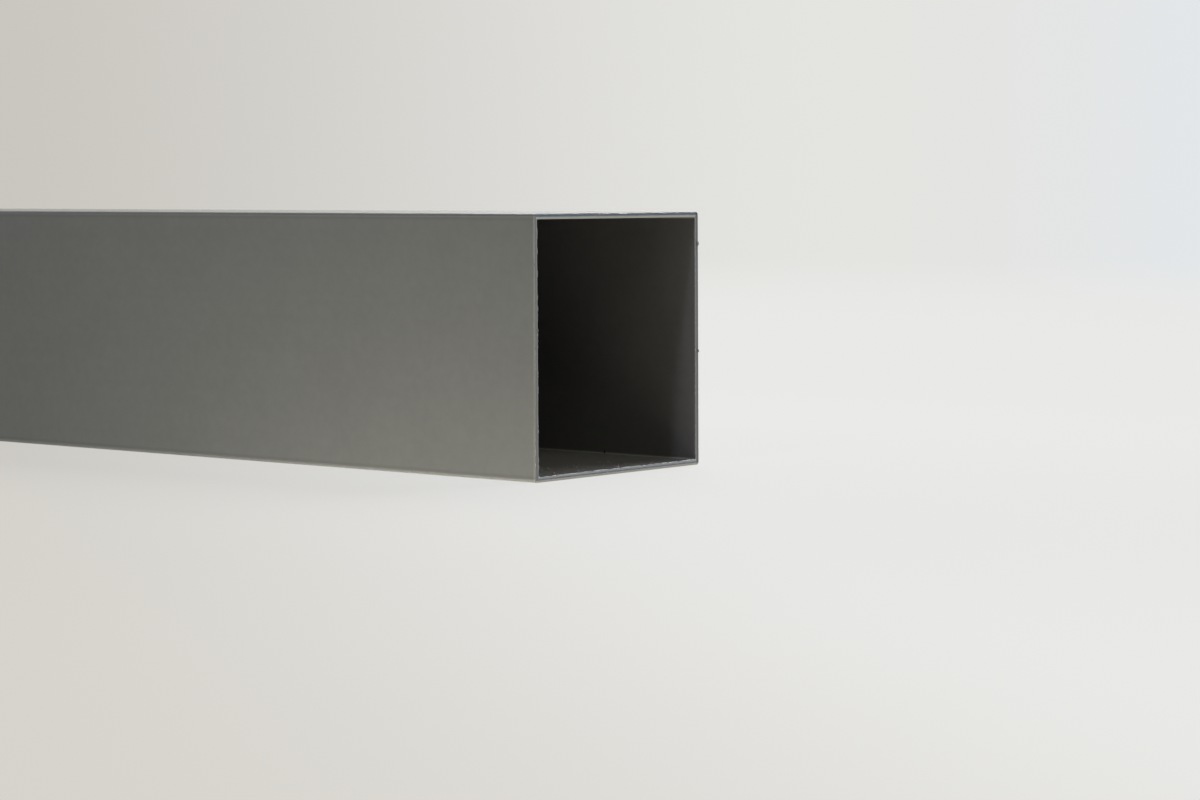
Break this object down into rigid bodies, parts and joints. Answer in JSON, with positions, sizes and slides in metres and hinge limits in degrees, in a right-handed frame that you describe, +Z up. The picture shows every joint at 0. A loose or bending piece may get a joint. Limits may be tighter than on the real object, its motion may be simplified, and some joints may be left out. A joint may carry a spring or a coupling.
{
  "type": "square downpipe",
  "caption": "Straight square rainwater downpipe: one thin-walled open-ended extruded tube with near-sharp corners, a satin grey coating and plain sawn ends.",
  "frame": {"origin": "on the ground, under the middle of the pipe as it lies on one of its flats", "axes": "+X along the pipe towards the sawn end that the picture shows, +Z up"},
  "size_m": [1, 0.1, 0.1],
  "materials": {
    "grey_coating": "satin grey coating, outside and inside, over extruded aluminium"
  },
  "bodies": {
    "root": {"downpipe": "grey_coating"}
  },
  "joints": []
}
